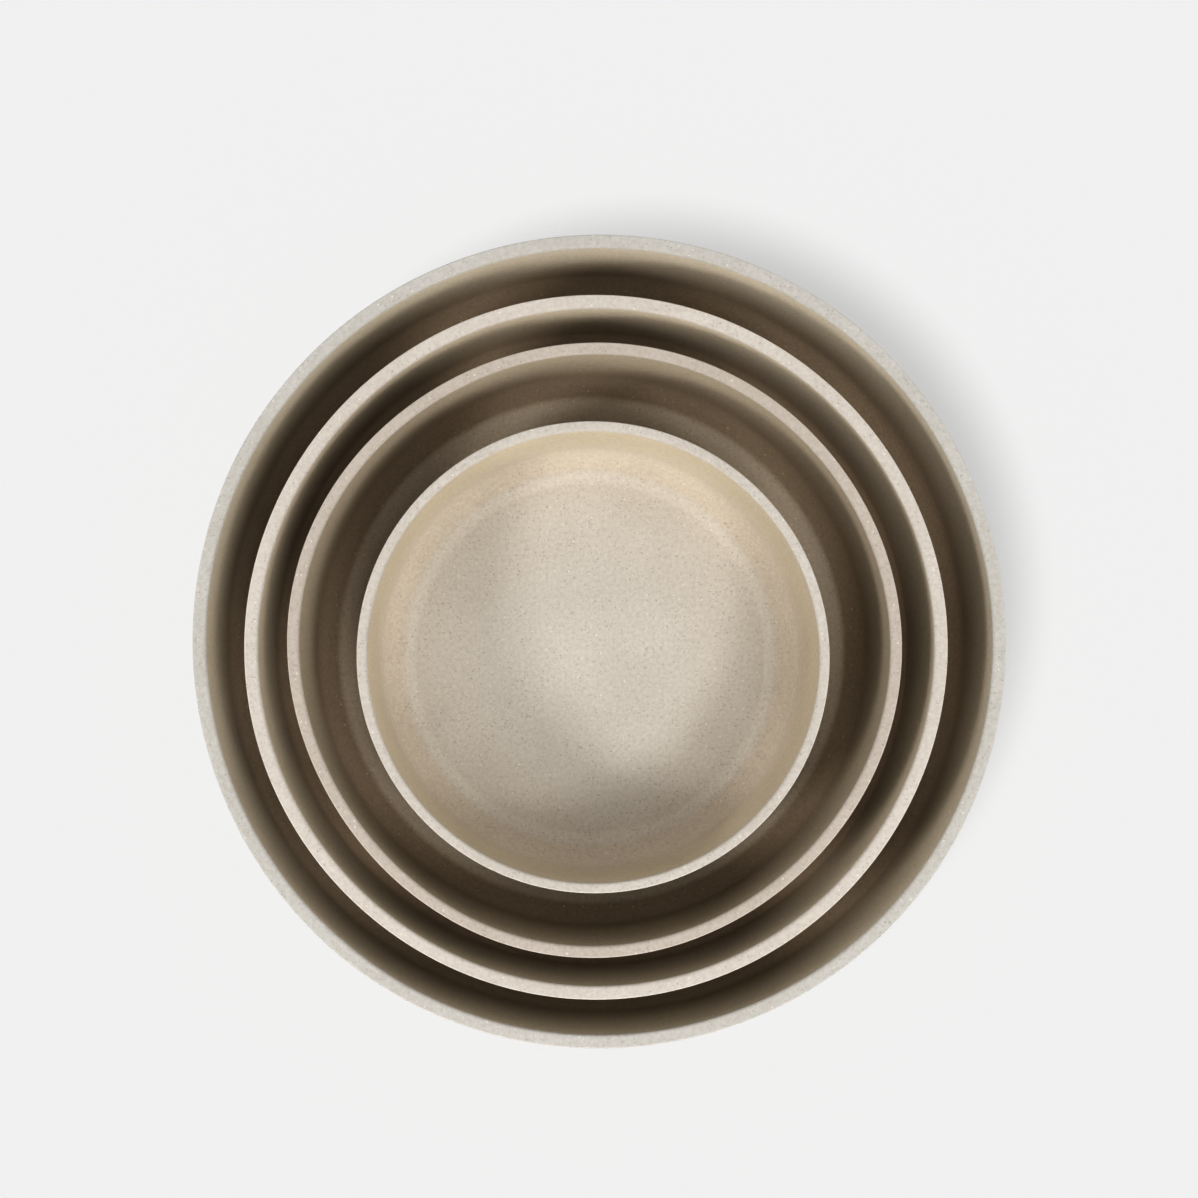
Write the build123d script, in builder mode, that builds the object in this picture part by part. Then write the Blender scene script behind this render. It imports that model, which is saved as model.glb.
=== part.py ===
"""A nest of four round stoneware bowls, each standing inside the next larger one.

Millimetres, +Z up. The origin is the centre of the large bowl's foot, in the plane that the foot
stands on. Every bowl is one fired piece: a low foot ring, a flat base, a straight wall and a flat rim.
The bowls share one height, so each rim stands one base higher than the rim around it.
"""

import os
from dataclasses import dataclass
from math import cos, radians, sin

from build123d import *

# ---- The large bowl, and the height that all four share
LARGE_DIAMETER = 255.0  # outside
BOWL_HEIGHT = 55.0  # foot to rim

# ---- Wall thickness at each rim
LARGE_WALL = 4.3
MEDIUM_WALL = 4.3
SMALL_WALL = 3.7
SMALLEST_WALL = 3.2

# ---- Finger gap all round each inner bowl, from its outside to the rim around it, when centred
MEDIUM_GAP = 14.2
SMALL_GAP = 10.6
SMALLEST_GAP = 18.6

# ---- Each inner bowl is set down by hand, a little off centre: a share of its gap, and the way it went
MEDIUM_SHIFT, MEDIUM_SHIFT_DIRECTION = 0.176, 236.0  # degrees from +X
SMALL_SHIFT, SMALL_SHIFT_DIRECTION = 0.099, 226.0
SMALLEST_SHIFT, SMALLEST_SHIFT_DIRECTION = 0.156, 255.0

# ---- The section that all four share
BASE_THICKNESS = 4.5
WALL_DRAFT = 1.5  # the inside is narrower at the floor than at the rim, so that it leaves its mould
COVE_RADIUS = 9.0  # floor to wall, inside
RIM_OUTER_RADIUS = 0.7
RIM_INNER_RADIUS = 1.1
HEEL_RADIUS = 1.2  # wall to underside, outside
FOOT_HEIGHT = 2.0
FOOT_WIDTH = 6.5
FOOT_EDGE_RADIUS = 0.6
STACKING_CLEARANCE = 1.0  # the foot drops inside the rim of another bowl of the same size

FLOOR_LEVEL = FOOT_HEIGHT + BASE_THICKNESS


@dataclass
class Bowl:
    """One bowl's own sizes, and the point at the centre of its foot."""

    name: str
    outer_radius: float
    wall: float
    stand: Vector

    @property
    def rim_inner_radius(self):
        return self.outer_radius - self.wall


def nested_in(around, name, gap, wall, shift, direction):
    """The bowl that stands on the floor of the bowl around it, moved off centre by a share of the gap."""
    distance = shift * gap
    step = Vector(
        distance * cos(radians(direction)), distance * sin(radians(direction)), FLOOR_LEVEL
    )
    return Bowl(name, around.rim_inner_radius - gap, wall, around.stand + step)


def make_bowl(bowl):
    """Turn the bowl's half section once round its own upright axis."""
    foot_radius = bowl.rim_inner_radius - STACKING_CLEARANCE

    foot_inner_edge = (foot_radius - FOOT_WIDTH, 0)
    foot_outer_edge = (foot_radius, 0)
    foot_inner_root = (foot_radius - FOOT_WIDTH, FOOT_HEIGHT)
    foot_outer_root = (foot_radius, FOOT_HEIGHT)
    heel = (bowl.outer_radius, FOOT_HEIGHT)
    rim_outer_edge = (bowl.outer_radius, BOWL_HEIGHT)
    rim_inner_edge = (bowl.rim_inner_radius, BOWL_HEIGHT)
    floor_corner = (bowl.rim_inner_radius - WALL_DRAFT, FLOOR_LEVEL)

    roundings = [
        (foot_inner_edge, FOOT_EDGE_RADIUS),
        (foot_outer_edge, FOOT_EDGE_RADIUS),
        (foot_inner_root, FOOT_EDGE_RADIUS),
        (foot_outer_root, FOOT_EDGE_RADIUS),
        (heel, HEEL_RADIUS),
        (rim_outer_edge, RIM_OUTER_RADIUS),
        (rim_inner_edge, RIM_INNER_RADIUS),
        (floor_corner, COVE_RADIUS),
    ]

    half_section = Plane(origin=bowl.stand, x_dir=(1, 0, 0), z_dir=(0, -1, 0))
    with BuildPart() as turned:
        with BuildSketch(half_section) as section:
            with BuildLine():
                Polyline(
                    (0, FOOT_HEIGHT),
                    foot_inner_root,
                    foot_inner_edge,
                    foot_outer_edge,
                    foot_outer_root,
                    heel,
                    rim_outer_edge,
                    rim_inner_edge,
                    floor_corner,
                    (0, FLOOR_LEVEL),
                    close=True,
                )
            make_face()
            for corner, radius in roundings:
                fillet(section.vertices().sort_by_distance(corner)[0], radius)
        revolve(axis=Axis(bowl.stand, (0, 0, 1)))
    turned.part.label = bowl.name
    return turned.part


large = Bowl("large_bowl", LARGE_DIAMETER / 2, LARGE_WALL, Vector(0, 0, 0))
medium = nested_in(
    large, "medium_bowl", MEDIUM_GAP, MEDIUM_WALL, MEDIUM_SHIFT, MEDIUM_SHIFT_DIRECTION
)
small = nested_in(medium, "small_bowl", SMALL_GAP, SMALL_WALL, SMALL_SHIFT, SMALL_SHIFT_DIRECTION)
smallest = nested_in(
    small, "smallest_bowl", SMALLEST_GAP, SMALLEST_WALL, SMALLEST_SHIFT, SMALLEST_SHIFT_DIRECTION
)

os.makedirs("parts", exist_ok=True)
for bowl in (large, medium, small, smallest):
    export_step(make_bowl(bowl), f"parts/{bowl.name}.step")
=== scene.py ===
"""Looks for a nest of four unglazed stoneware bowls: turned meshes, speckled clay, backdrop, light, camera.

Lengths are metres, in the frame of the CAD model. Each bowl's place, width and height come from the frame,
and its section repeats the CAD sizes.
"""

from collections import namedtuple
from math import atan2, cos, pi, radians, sin, tan

import bmesh
import bpy
from mathutils import Matrix, Vector, noise


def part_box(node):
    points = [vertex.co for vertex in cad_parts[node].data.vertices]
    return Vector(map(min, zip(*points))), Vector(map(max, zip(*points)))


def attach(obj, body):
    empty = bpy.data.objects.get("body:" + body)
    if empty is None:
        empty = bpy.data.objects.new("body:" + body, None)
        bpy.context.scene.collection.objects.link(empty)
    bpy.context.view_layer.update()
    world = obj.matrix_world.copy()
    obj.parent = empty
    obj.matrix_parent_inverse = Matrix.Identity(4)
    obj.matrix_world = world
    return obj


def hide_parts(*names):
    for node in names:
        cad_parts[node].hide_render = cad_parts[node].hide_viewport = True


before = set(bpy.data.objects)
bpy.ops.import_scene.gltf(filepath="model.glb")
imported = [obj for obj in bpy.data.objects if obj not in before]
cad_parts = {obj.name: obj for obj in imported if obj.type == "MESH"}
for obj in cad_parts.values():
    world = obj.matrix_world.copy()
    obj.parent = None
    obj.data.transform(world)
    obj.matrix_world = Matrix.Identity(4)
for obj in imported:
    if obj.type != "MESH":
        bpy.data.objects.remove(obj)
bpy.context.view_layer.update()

MM = 0.001

# ---- The section that all four bowls share
FLOOR_LEVEL = 6.5 * MM
WALL_DRAFT = 1.5 * MM
COVE_RADIUS = 9.0 * MM
RIM_OUTER_RADIUS = 0.7 * MM
RIM_INNER_RADIUS = 1.1 * MM
HEEL_RADIUS = 1.2 * MM
FOOT_HEIGHT = 2.0 * MM
FOOT_WIDTH = 6.5 * MM
FOOT_EDGE_RADIUS = 0.6 * MM
STACKING_CLEARANCE = 1.0 * MM

# ---- Mesh fineness
TURN_STEPS = 320
ARC_STEPS = 8
RUN_STEP = 1.6 * MM

# ---- How far a surface strays from the true section, always into the clay
UNEVENNESS = 0.12 * MM
UNEVENNESS_PITCH = 38 * MM

# ---- Clays, as red, green and blue
# The upper and lower clays hold painted shade and warm bounce light from the gaps of the nest, over the
# clay's own tone.
UPPER_CLAY_WITH_SHADING = Vector((0.54, 0.487, 0.403))
LOWER_CLAY_WITH_SHADING = Vector((0.565, 0.46, 0.35))
PALE_CLAY = Vector((0.573, 0.545, 0.505))
# A painted highlight, for the ring round the foot of the cove.
PAINTED_HIGHLIGHT_RING = Vector((0.700, 0.660, 0.600))
CLOUD_TINT = (0.30, 0.27, 0.22)
GRAIN_TINT = (0.52, 0.48, 0.41)
PALE_GRAIN_TINT = (0.74, 0.70, 0.62)
FINE_SPECK_TINT = (0.15, 0.12, 0.10)
COARSE_SPECK_TINT = (0.08, 0.06, 0.045)

# ---- Where one clay gives way to another, and with it the painted shade and bounce light on walls and floors.
# Walls and rims: heights above the foot. Floors: distances from the bowl's axis. The painted highlight ring:
# how far it reaches, and how far it has its full strength, inward and outward from the circle where the
# floor turns up into the cove.
DEEP_WALL, HIGH_WALL = 4 * MM, 40 * MM
RIM_START, RIM_BLEND = 53.6 * MM, 0.5 * MM
FLOOR_MIDDLE, FLOOR_EDGE = 22 * MM, 62 * MM
RING_WITHIN, RING_BEYOND = 2.0 * MM, 3.4 * MM
RING_FULL_WITHIN, RING_FULL_BEYOND = 0.2 * MM, 1.2 * MM

# ---- The pattern in the clay: how far apart its parts lie, and how strongly they show
CLOUD_PITCH, CLOUD_STRENGTH = 30 * MM, 0.10
PATCH_PITCH = 11 * MM
GRAIN_PITCH, GRAIN_STRENGTH = 1.3 * MM, 0.28
PALE_GRAIN_PITCH, PALE_GRAIN_STRENGTH = 1.5 * MM, 0.50
FINE_SPECK_PITCH, FINE_SPECK_STRENGTH = 1.05 * MM, 0.30
COARSE_SPECK_PITCH, COARSE_SPECK_STRENGTH = 2.6 * MM, 0.24
SHAKE_PITCH, SHAKE = 0.8 * MM, 0.35 * MM
BUMP_DEPTH = 0.1 * MM

# ---- The bowls. upper and lower are the clay high and low on the inside of the walls, and floor_edge the clay
# at the edge of a floor: the clay's own tone with painted shade and warm bounce light from the nest. ring is
# the strength of the painted highlight ring at the edge of the floor. specks is the share of places that hold
# a fine dark speck. warps are the lobes that a wall took on in drying: how many, how far out at the rim, and
# towards where in degrees. seed shifts the pattern and the unevenness.
Look = namedtuple("Look", "node wall slot upper lower rim floor_edge floor_middle ring specks warps seed")
BOWLS = (
    Look(
        node="large_bowl",
        wall=4.3 * MM,
        slot="large_stoneware",
        upper=UPPER_CLAY_WITH_SHADING * 1.06,
        lower=LOWER_CLAY_WITH_SHADING * 0.80,
        rim=Vector((0.508, 0.492, 0.466)),
        floor_edge=LOWER_CLAY_WITH_SHADING * 0.70,
        floor_middle=PALE_CLAY,
        ring=0.0,
        specks=0.60,
        warps=((4, 0.15 * MM, 55),),
        seed=1,
    ),
    Look(
        node="medium_bowl",
        wall=4.3 * MM,
        slot="medium_stoneware",
        upper=Vector((0.570, 0.508, 0.413)),
        lower=LOWER_CLAY_WITH_SHADING * 1.08,
        rim=Vector((0.560, 0.525, 0.487)),
        floor_edge=LOWER_CLAY_WITH_SHADING * 1.05,
        floor_middle=PALE_CLAY,
        ring=0.0,
        specks=0.50,
        warps=((2, 0.15 * MM, 60), (4, 0.15 * MM, 5)),
        seed=2,
    ),
    Look(
        node="small_bowl",
        wall=3.7 * MM,
        slot="small_stoneware",
        upper=Vector((0.430, 0.376, 0.300)),
        lower=LOWER_CLAY_WITH_SHADING * 0.70,
        rim=Vector((0.488, 0.446, 0.404)),
        floor_edge=Vector((0.56, 0.49, 0.40)),
        floor_middle=PALE_CLAY,
        ring=0.1,
        specks=0.75,
        warps=((3, 0.4 * MM, 30), (4, 0.4 * MM, 80)),
        seed=3,
    ),
    Look(
        node="smallest_bowl",
        wall=3.2 * MM,
        slot="smallest_stoneware",
        upper=Vector((0.582, 0.514, 0.408)),
        lower=Vector((0.612, 0.553, 0.477)),
        rim=Vector((0.533, 0.501, 0.464)),
        floor_edge=Vector((0.600, 0.560, 0.503)),
        floor_middle=PALE_CLAY,
        ring=0.4,
        specks=0.80,
        warps=((2, 0.2 * MM, 150),),
        seed=4,
    ),
)

# ---- Light. Azimuth is degrees from +X towards +Y, side is metres, and share is the part of LIGHT_POWER.
LIGHT_DISTANCE = 1.6
LIGHT_POWER = 24.1
SKY = 0.335
Softbox = namedtuple("Softbox", "name azimuth elevation side share")
SOFTBOXES = (
    Softbox("key", 212, 43.5, 0.28, 0.235),
    Softbox("second_key", 317, 57, 0.28, 0.115),
    Softbox("front_fill", 285, 48, 0.65, 0.135),
    Softbox("high_front_fill", 298, 64, 0.65, 0.13),
    Softbox("overhead", 0, 88, 0.60, 0.115),
    Softbox("right_fill", 0, 32, 0.60, 0.05),
    Softbox("back_fill", 90, 38, 0.60, 0.070),
    Softbox("left_fill", 180, 32, 0.60, 0.020),
    Softbox("low_side_30", 30, 1.5, 0.10, 0.12),
    Softbox("low_side_120", 120, 1.5, 0.10, 0.12),
    Softbox("low_side_210", 210, 1.5, 0.10, 0.12),
    Softbox("low_side_300", 300, 1.5, 0.10, 0.12),
)
SUN_AZIMUTH = 222
SUN_ELEVATION = 66
SUN_SOFTNESS = 20
SUN_STRENGTH = 3.5

# ---- Backdrop. The dome's glow is as bright as the lit floor.
FLOOR_GREY = 0.13
FLOOR_GLOW = 0.355
FLOOR_HALF_SIDE = 4.0
DOME_GLOW = 0.53
DOME_RADIUS = 3.9

# ---- Camera
CAMERA_PLACE = Vector((-19.1, -10.7, 705.0)) * MM
CAMERA_AIM = Vector((-0.8, 12.45, 55.0)) * MM
FOCAL_LENGTH = 62.5
SENSOR_WIDTH = 36.0


# ------------------------------------------------------------------ turned meshes
def outer_radius_of(node):
    low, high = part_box(node)
    return (high.y - low.y) / 2


def rounded_section(corners):
    """Points along the section through corners (x, z, radius): arcs at the corners, divided runs between."""
    points = []

    def run_to(target):
        start = points[-1]
        steps = max(1, round((target - start).length / RUN_STEP))
        points.extend(start.lerp(target, k / steps) for k in range(1, steps + 1))

    points.append(Vector(corners[0][:2]))
    for before, corner, after in zip(corners, corners[1:], corners[2:]):
        here = Vector(corner[:2])
        back = (Vector(before[:2]) - here).normalized()
        on = (Vector(after[:2]) - here).normalized()
        radius = corner[2]
        half_angle = back.angle(on) / 2
        tangent = radius / tan(half_angle)
        centre = here + (back + on).normalized() * (radius / sin(half_angle))
        first = here + back * tangent
        last = here + on * tangent
        run_to(first)
        arm = first - centre
        sweep = arm.angle_signed(last - centre)
        for k in range(1, ARC_STEPS + 1):
            turn = -sweep * k / ARC_STEPS
            turned_arm = (arm.x * cos(turn) - arm.y * sin(turn), arm.x * sin(turn) + arm.y * cos(turn))
            points.append(centre + Vector(turned_arm))
    run_to(Vector(corners[-1][:2]))
    return points


def bowl_section(outer_radius, wall, height):
    """The half section from the middle of the underside, round the foot, wall and rim, to mid floor."""
    inner_radius = outer_radius - wall
    foot_radius = inner_radius - STACKING_CLEARANCE
    return rounded_section(
        [
            (0, FOOT_HEIGHT, 0),
            (foot_radius - FOOT_WIDTH, FOOT_HEIGHT, FOOT_EDGE_RADIUS),
            (foot_radius - FOOT_WIDTH, 0, FOOT_EDGE_RADIUS),
            (foot_radius, 0, FOOT_EDGE_RADIUS),
            (foot_radius, FOOT_HEIGHT, FOOT_EDGE_RADIUS),
            (outer_radius, FOOT_HEIGHT, HEEL_RADIUS),
            (outer_radius, height, RIM_OUTER_RADIUS),
            (inner_radius, height, RIM_INNER_RADIUS),
            (inner_radius - WALL_DRAFT, FLOOR_LEVEL, COVE_RADIUS),
            (0, FLOOR_LEVEL, 0),
        ]
    )


def wheel_surface(section):
    """The section turned once round, as a closed bmesh with its normals outward."""
    turned = bmesh.new()
    under = turned.verts.new((0, 0, section[0].y))
    rings = []
    for point in section[1:-1]:
        ring = []
        for k in range(TURN_STEPS):
            angle = 2 * pi * k / TURN_STEPS
            ring.append(turned.verts.new((point.x * cos(angle), point.x * sin(angle), point.y)))
        rings.append(ring)
    mid_floor = turned.verts.new((0, 0, section[-1].y))
    for k in range(TURN_STEPS):
        following = (k + 1) % TURN_STEPS
        turned.faces.new((under, rings[0][following], rings[0][k]))
        turned.faces.new((rings[-1][k], rings[-1][following], mid_floor))
        for near, far in zip(rings, rings[1:]):
            turned.faces.new((near[k], near[following], far[following], far[k]))
    bmesh.ops.recalc_face_normals(turned, faces=turned.faces)
    turned.normal_update()
    return turned


def warp_and_wander(turned, look, outer_radius, height):
    """Moves the surface a little into the clay, and pushes the wall out and in, most at the rim."""
    for vert in turned.verts:
        if vert.co.z > FOOT_HEIGHT + HEEL_RADIUS:
            wander = noise.noise(vert.co / UNEVENNESS_PITCH + Vector((look.seed, 0, 0)))
            vert.co -= vert.normal * UNEVENNESS * (0.5 + 0.5 * wander)
            angle = atan2(vert.co.y, vert.co.x)
            rise = vert.co.z / height
            out = 0
            for lobes, amount, toward in look.warps:
                out += amount * cos(lobes * (angle - radians(toward)))
            spread = 1 + rise ** 2 * out / outer_radius
            vert.co.x *= spread
            vert.co.y *= spread


def turned_bowl(look):
    """One bowl, turned about its own axis and warped a little, that stands for its CAD node."""
    low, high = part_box(look.node)
    outer_radius = outer_radius_of(look.node)
    height = high.z - low.z
    turned = wheel_surface(bowl_section(outer_radius, look.wall, height))
    warp_and_wander(turned, look, outer_radius, height)
    for face in turned.faces:
        face.smooth = True
    mesh = bpy.data.meshes.new(look.node)
    turned.to_mesh(mesh)
    turned.free()

    piece = bpy.data.objects.new(look.node + "_turned", mesh)
    bpy.context.scene.collection.objects.link(piece)
    piece.location = ((low.x + high.x) / 2, (low.y + high.y) / 2, low.z)
    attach(piece, look.node)
    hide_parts(look.node)
    return piece


# ------------------------------------------------------------------ clay
class Nodes:
    """Short calls for adding shader nodes to one material."""

    def __init__(self, name):
        self.material = bpy.data.materials.new(name)
        self.material.use_nodes = True
        self.tree = self.material.node_tree
        self.tree.nodes.clear()

    def add(self, kind, **values):
        """A node: names with a leading capital are its sockets, the others are its own settings."""
        node = self.tree.nodes.new("ShaderNode" + kind)
        for name, value in values.items():
            if name[0].isupper():
                self.put(node, name.replace("_", " "), value)
            else:
                setattr(node, name, value)
        return node

    def put(self, node, socket, value):
        """Links value to the socket, or sets the socket to it."""
        if isinstance(value, bpy.types.NodeSocket):
            self.tree.links.new(value, node.inputs[socket])
        else:
            node.inputs[socket].default_value = value

    def math(self, operation, first, second=None):
        node = self.add("Math", operation=operation)
        self.put(node, 0, first)
        if second is not None:
            self.put(node, 1, second)
        return node.outputs["Value"]

    def product(self, first, *others):
        for other in others:
            first = self.math("MULTIPLY", first, other)
        return first

    def vector(self, operation, *values):
        node = self.add("VectorMath", operation=operation)
        for socket, value in enumerate(values):
            self.put(node, socket, value)
        return node

    def ramp(self, value, low, high, to_low=0.0, to_high=1.0):
        """value between low and high, eased to run between to_low and to_high."""
        node = self.add("MapRange", interpolation_type="SMOOTHSTEP")
        sockets = ("Value", "From Min", "From Max", "To Min", "To Max")
        for socket, given in zip(sockets, (value, low, high, to_low, to_high)):
            self.put(node, socket, given)
        return node.outputs["Result"]

    def noise(self, place, pitch, detail=2.0, roughness=0.5, output="Fac"):
        node = self.add("TexNoise", Vector=place, Scale=1 / pitch, Detail=detail, Roughness=roughness)
        return node.outputs[output]

    def mix(self, factor, first, second, blend_type="MIX"):
        """Colours are sockets, or red, green and blue."""
        node = self.add("Mix", data_type="RGBA", blend_type=blend_type)
        self.put(node, "Factor", factor)
        sockets = [k for k, socket in enumerate(node.inputs) if socket.type == "RGBA"]
        for socket, value in zip(sockets, (first, second)):
            self.put(node, socket, value if isinstance(value, bpy.types.NodeSocket) else (*value, 1.0))
        return next(socket for socket in node.outputs if socket.type == "RGBA")

    def specks(self, place, pitch, share, radius):
        """1 inside small round grains: one place per cell of the pitch, filled in a share of the cells."""
        cells = self.add("TexVoronoi", Vector=place, Scale=1 / pitch, Randomness=1.0)
        chance = self.add("SeparateColor", Color=cells.outputs["Color"])
        present = self.math("LESS_THAN", chance.outputs["Red"], share)
        size = self.ramp(chance.outputs["Green"], 0.0, 1.0, radius * 0.5, radius)
        depth = self.math("SUBTRACT", size, cells.outputs["Distance"])
        edge = self.ramp(depth, 0.0, radius * 0.45)
        return self.product(edge, present)


def plain_clay(n, look, coords, facing_up):
    """The clay without its pattern: it changes with the height on a wall, and towards the edge of a floor, as
    painted shade and warm bounce light from the nest. The pale ring at the foot of the cove is a painted
    highlight.
    """
    level = n.add("SeparateXYZ", Vector=coords.outputs["Object"]).outputs["Z"]
    across = n.vector("MULTIPLY", coords.outputs["Object"], (1.0, 1.0, 0.0)).outputs["Vector"]
    from_axis = n.vector("LENGTH", across).outputs["Value"]
    outward = n.vector("DOT_PRODUCT", coords.outputs["Normal"], across).outputs["Value"]
    # Inside a wall the clay is warmer than outside, and in the small bowl darker: painted warm bounce light
    # and shade from the nest.
    inside = n.math("LESS_THAN", outward, 0.0)
    # Low inside a wall it turns to the lower clay: more painted shade and bounce light, deep in the gaps of
    # the nest.
    shading_low_inside = n.product(inside, n.ramp(level, DEEP_WALL, HIGH_WALL, 1.0, 0.0))
    walls = n.mix(inside, look.upper.lerp(PALE_CLAY, 0.5), look.upper)
    walls = n.mix(shading_low_inside, walls, look.lower)
    # Towards its edge a floor turns warmer, and in the large bowl darker: painted shade and bounce light from
    # the wall and rim.
    floor = n.mix(n.ramp(from_axis, FLOOR_MIDDLE, FLOOR_EDGE), look.floor_middle, look.floor_edge)
    colour = n.mix(n.ramp(n.math("ABSOLUTE", facing_up), 0.90, 0.99), walls, floor)

    # The pale ring round the foot of the cove is a painted highlight.
    flat_radius = outer_radius_of(look.node) - look.wall - WALL_DRAFT - COVE_RADIUS
    ring_start = n.ramp(from_axis, flat_radius - RING_WITHIN, flat_radius - RING_FULL_WITHIN)
    ring_end = n.ramp(from_axis, flat_radius + RING_FULL_BEYOND, flat_radius + RING_BEYOND, 1.0, 0.0)
    ring = n.product(ring_start, ring_end, n.ramp(facing_up, 0.80, 0.90))
    colour = n.mix(n.product(ring, look.ring), colour, PAINTED_HIGHLIGHT_RING)
    return n.mix(n.ramp(level, RIM_START, RIM_START + RIM_BLEND), colour, look.rim)


def stoneware(look):
    """Unglazed, fine matt stoneware: clouds, sandy grain, pale grains and dark iron specks of two sizes."""
    n = Nodes(look.slot)
    coords = n.add("TexCoord")
    shift = (look.seed * 0.37, look.seed * 0.21, look.seed * 0.13)
    place = n.add("Mapping", Vector=coords.outputs["Object"], Location=shift).outputs["Vector"]
    facing_up = n.add("SeparateXYZ", Vector=coords.outputs["Normal"]).outputs["Z"]
    colour = plain_clay(n, look, coords, facing_up)

    # The grains are shaken a little out of round.
    wobble = n.noise(place, SHAKE_PITCH, detail=1.0, output="Color")
    shaken = n.vector("MULTIPLY_ADD", wobble, (SHAKE, SHAKE, SHAKE), place).outputs["Vector"]
    clouds = n.noise(place, CLOUD_PITCH, detail=3.0)
    patches = n.ramp(n.noise(place, PATCH_PITCH), 0.35, 0.65, 0.45, 1.0)
    grain = n.noise(place, GRAIN_PITCH, detail=4.0, roughness=0.75)
    fine_specks = n.specks(shaken, FINE_SPECK_PITCH, look.specks, 0.38)
    coarse_specks = n.specks(shaken, COARSE_SPECK_PITCH, look.specks * 0.5, 0.16)
    pale_grains = n.specks(shaken, PALE_GRAIN_PITCH, 0.30, 0.26)

    # A wall is smoother than a floor or a rim, so grains and specks show less on it.
    open_face = n.ramp(n.math("ABSOLUTE", facing_up), 0.3, 0.95, 0.4, 1.0)
    colour = n.mix(n.ramp(clouds, 0.3, 0.7, CLOUD_STRENGTH, 0.0), colour, CLOUD_TINT)
    colour = n.mix(n.ramp(grain, 0.3, 0.75, 0.0, GRAIN_STRENGTH), colour, GRAIN_TINT, "MULTIPLY")
    colour = n.mix(n.product(pale_grains, open_face, PALE_GRAIN_STRENGTH), colour, PALE_GRAIN_TINT)
    colour = n.mix(n.product(fine_specks, patches, open_face, FINE_SPECK_STRENGTH), colour, FINE_SPECK_TINT)
    colour = n.mix(n.product(coarse_specks, open_face, COARSE_SPECK_STRENGTH), colour, COARSE_SPECK_TINT)

    pits = n.math("ADD", fine_specks, coarse_specks)
    height = n.math("SUBTRACT", n.product(grain, 0.6), n.product(pits, 0.5))
    bump = n.add("Bump", Height=height, Strength=0.3, Distance=BUMP_DEPTH)
    roughness = n.ramp(grain, 0.2, 0.8, 0.80, 0.92)

    shader = n.add("BsdfPrincipled", Base_Color=colour, Roughness=roughness, Normal=bump.outputs["Normal"])
    shader.inputs["Specular IOR Level"].default_value = 0.2
    shader.inputs["Diffuse Roughness"].default_value = 0.5
    output = n.add("OutputMaterial")
    n.put(output, "Surface", shader.outputs["BSDF"])
    return n.material


# ------------------------------------------------------------------ surroundings
def backdrop(name, grey, glow):
    """An even matt grey with a white light of its own, which lifts shadows as on an overexposed backdrop."""
    material = bpy.data.materials.new(name)
    material.use_nodes = True
    shader = material.node_tree.nodes["Principled BSDF"]
    shader.inputs["Base Color"].default_value = (grey, grey, grey, 1.0)
    shader.inputs["Roughness"].default_value = 0.9
    shader.inputs["Specular IOR Level"].default_value = 0.0
    shader.inputs["Emission Color"].default_value = (1.0, 1.0, 1.0, 1.0)
    shader.inputs["Emission Strength"].default_value = glow
    return material


def floor_plane():
    """A flat floor under the nest, wider than the dome."""
    side = FLOOR_HALF_SIDE
    mesh = bpy.data.meshes.new("floor")
    corners = [(-side, -side, 0), (side, -side, 0), (side, side, 0), (-side, side, 0)]
    mesh.from_pydata(corners, [], [(0, 1, 2, 3)])
    mesh.materials.append(backdrop("pale_floor", FLOOR_GREY, FLOOR_GLOW))
    floor = bpy.data.objects.new("floor", mesh)
    bpy.context.scene.collection.objects.link(floor)
    return floor


def sky_dome():
    """The backdrop beyond the floor, as bright as it. Only the camera sees the dome, so it lights nothing."""
    ball = bmesh.new()
    bmesh.ops.create_icosphere(ball, subdivisions=4, radius=DOME_RADIUS)
    mesh = bpy.data.meshes.new("dome")
    ball.to_mesh(mesh)
    ball.free()
    mesh.materials.append(backdrop("pale_dome", 0.0, DOME_GLOW))
    dome = bpy.data.objects.new("dome", mesh)
    dome.visible_diffuse = False
    dome.visible_glossy = False
    dome.visible_transmission = False
    dome.visible_shadow = False
    bpy.context.scene.collection.objects.link(dome)


def light_receivers(name, floor, state):
    """What a light falls on: only the floor (INCLUDE), or everything but the floor (EXCLUDE)."""
    receivers = bpy.data.collections.new(name)
    receivers.objects.link(floor)
    receivers.collection_objects[0].light_linking.link_state = state
    return receivers


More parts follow.
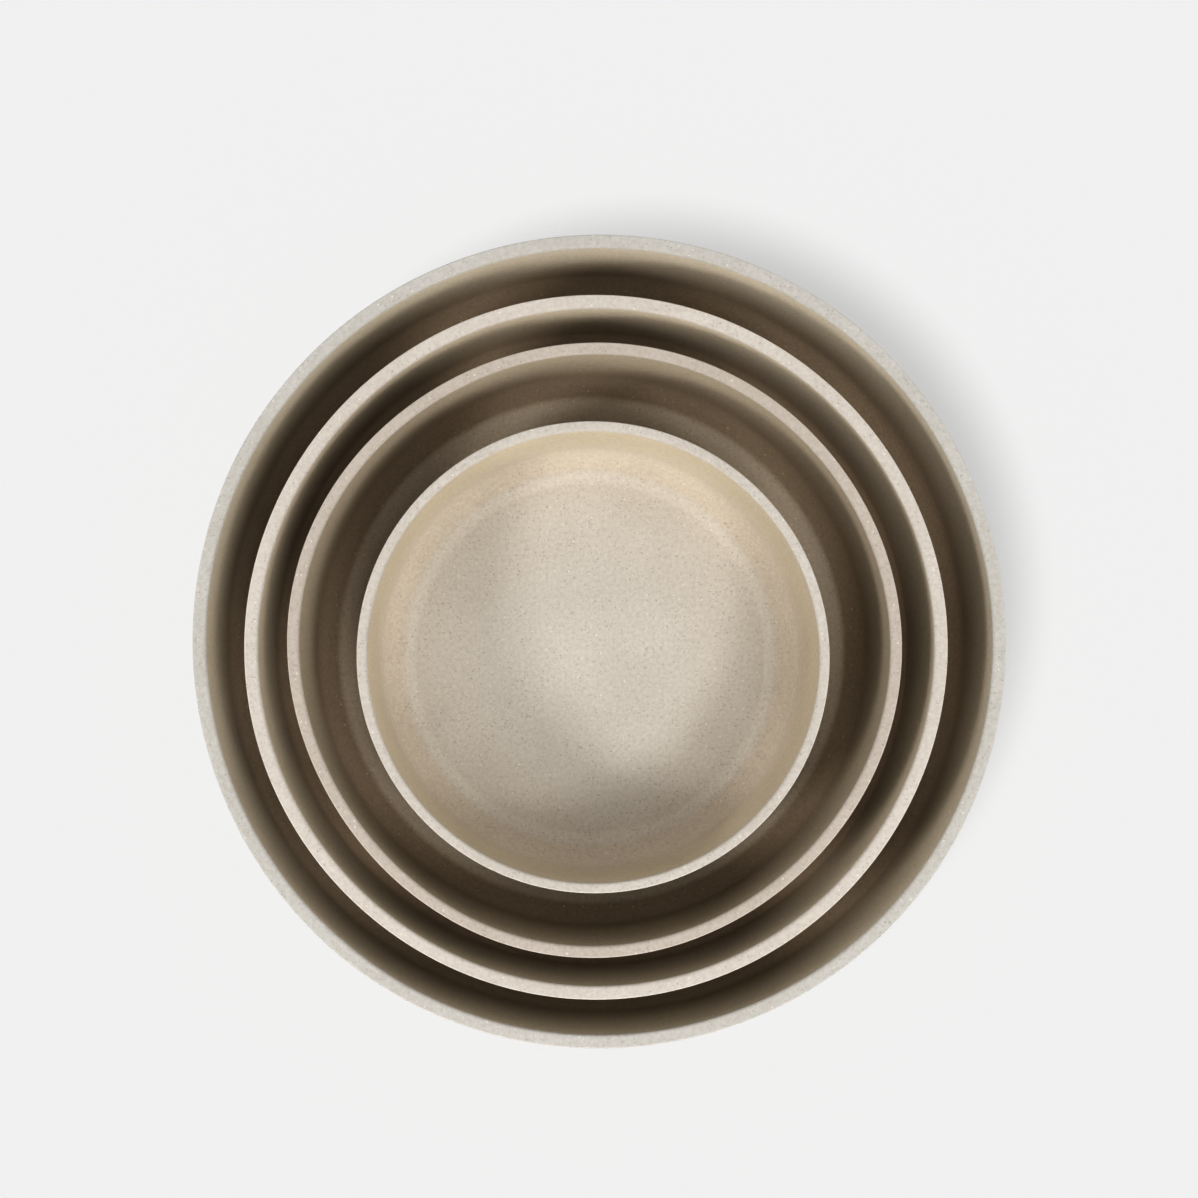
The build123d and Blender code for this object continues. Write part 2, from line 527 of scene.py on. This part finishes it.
def put_light(light, azimuth, elevation, receivers):
    """Faces the light to the nest, from LIGHT_DISTANCE."""
    lamp = bpy.data.objects.new(light.name, light)
    flat = cos(radians(elevation))
    toward = Vector((flat * cos(radians(azimuth)), flat * sin(radians(azimuth)), sin(radians(elevation))))
    lamp.location = toward * LIGHT_DISTANCE
    lamp.rotation_euler = toward.to_track_quat("Z", "Y").to_euler()
    lamp.light_linking.receiver_collection = receivers
    bpy.context.scene.collection.objects.link(lamp)


def studio(floor):
    """A crisp key from the left front, a second from the right front, broad fills, low side lights, and one
    soft sun for the floor. The softboxes leave the floor out."""
    world = bpy.data.worlds.new("studio")
    world.use_nodes = True
    background = world.node_tree.nodes["Background"]
    background.inputs["Color"].default_value = (1.0, 1.0, 1.0, 1.0)
    background.inputs["Strength"].default_value = SKY
    bpy.context.scene.world = world

    bowls = light_receivers("all_but_the_floor", floor, "EXCLUDE")
    for softbox in SOFTBOXES:
        light = bpy.data.lights.new(softbox.name, "AREA")
        light.size = softbox.side
        light.energy = LIGHT_POWER * softbox.share
        put_light(light, softbox.azimuth, softbox.elevation, bowls)

    sun = bpy.data.lights.new("floor_light", "SUN")
    sun.angle = radians(SUN_SOFTNESS)
    sun.energy = SUN_STRENGTH
    put_light(sun, SUN_AZIMUTH, SUN_ELEVATION, light_receivers("only_the_floor", floor, "INCLUDE"))


def camera():
    """Looks almost straight down from 0.7 m, a little left of the middle."""
    lens = bpy.data.cameras.new("camera")
    lens.sensor_width = SENSOR_WIDTH
    lens.lens = FOCAL_LENGTH
    eye = bpy.data.objects.new("camera", lens)
    back = (CAMERA_PLACE - CAMERA_AIM).normalized()
    right = Vector((0, 1, 0)).cross(back).normalized()
    up = back.cross(right)
    eye.matrix_world = Matrix.Translation(CAMERA_PLACE) @ Matrix((right, up, back)).transposed().to_4x4()
    bpy.context.scene.collection.objects.link(eye)
    bpy.context.scene.camera = eye


camera()
for look in BOWLS:
    bowl = turned_bowl(look)
    bowl.data.materials.append(stoneware(look))
studio(floor_plane())
sky_dome()
bpy.context.scene.view_settings.view_transform = "Standard"
bpy.context.scene.view_settings.look = "Very High Contrast"
